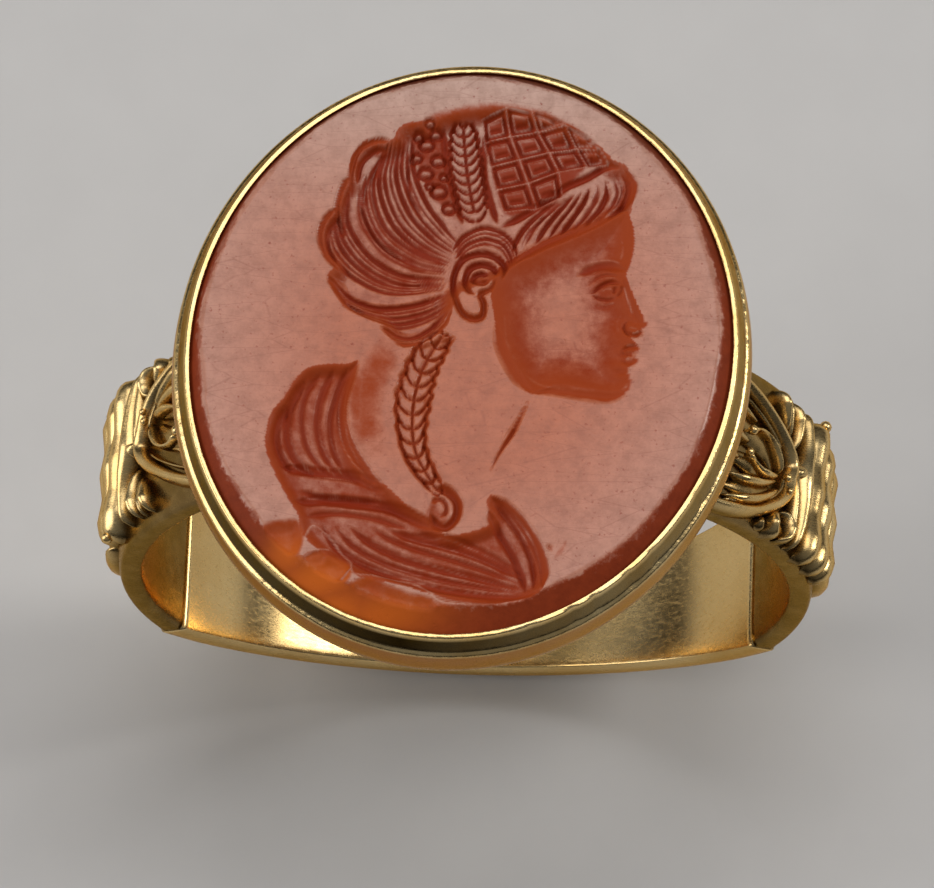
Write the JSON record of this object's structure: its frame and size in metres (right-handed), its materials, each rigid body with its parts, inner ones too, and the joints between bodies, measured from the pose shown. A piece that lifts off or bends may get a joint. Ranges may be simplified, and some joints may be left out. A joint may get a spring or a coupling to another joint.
{
  "type": "intaglio gem ring",
  "caption": "Gold finger ring with leaf shoulders and an oval rub-over bezel that holds a bevelled carnelian, engraved with a draped bust in profile.",
  "frame": {"origin": "centre of the finger bore, half way along its width", "axes": "+Y along the finger, +Z out through the stone's face, +X to the right shoulder"},
  "size_m": [0.0206, 0.017, 0.0228],
  "materials": {
    "carnelian": "polished",
    "gold": "polished"
  },
  "bodies": {
    "root": {"intaglio_gem": "carnelian", "hoop": "gold", "base_plate": "gold", "seat_ring": "gold", "bezel_collar": "gold", "shoulder_right": "gold", "rim_arch_right": "gold", "palmette_right": "gold", "scroll_upper_right": "gold", "scroll_lower_right": "gold", "reeded_collar_right": "gold", "tail_leaf_right": "gold", "shoulder_left": "gold", "rim_arch_left": "gold", "palmette_left": "gold", "scroll_upper_left": "gold", "scroll_lower_left": "gold", "reeded_collar_left": "gold", "tail_leaf_left": "gold"}
  },
  "joints": []
}
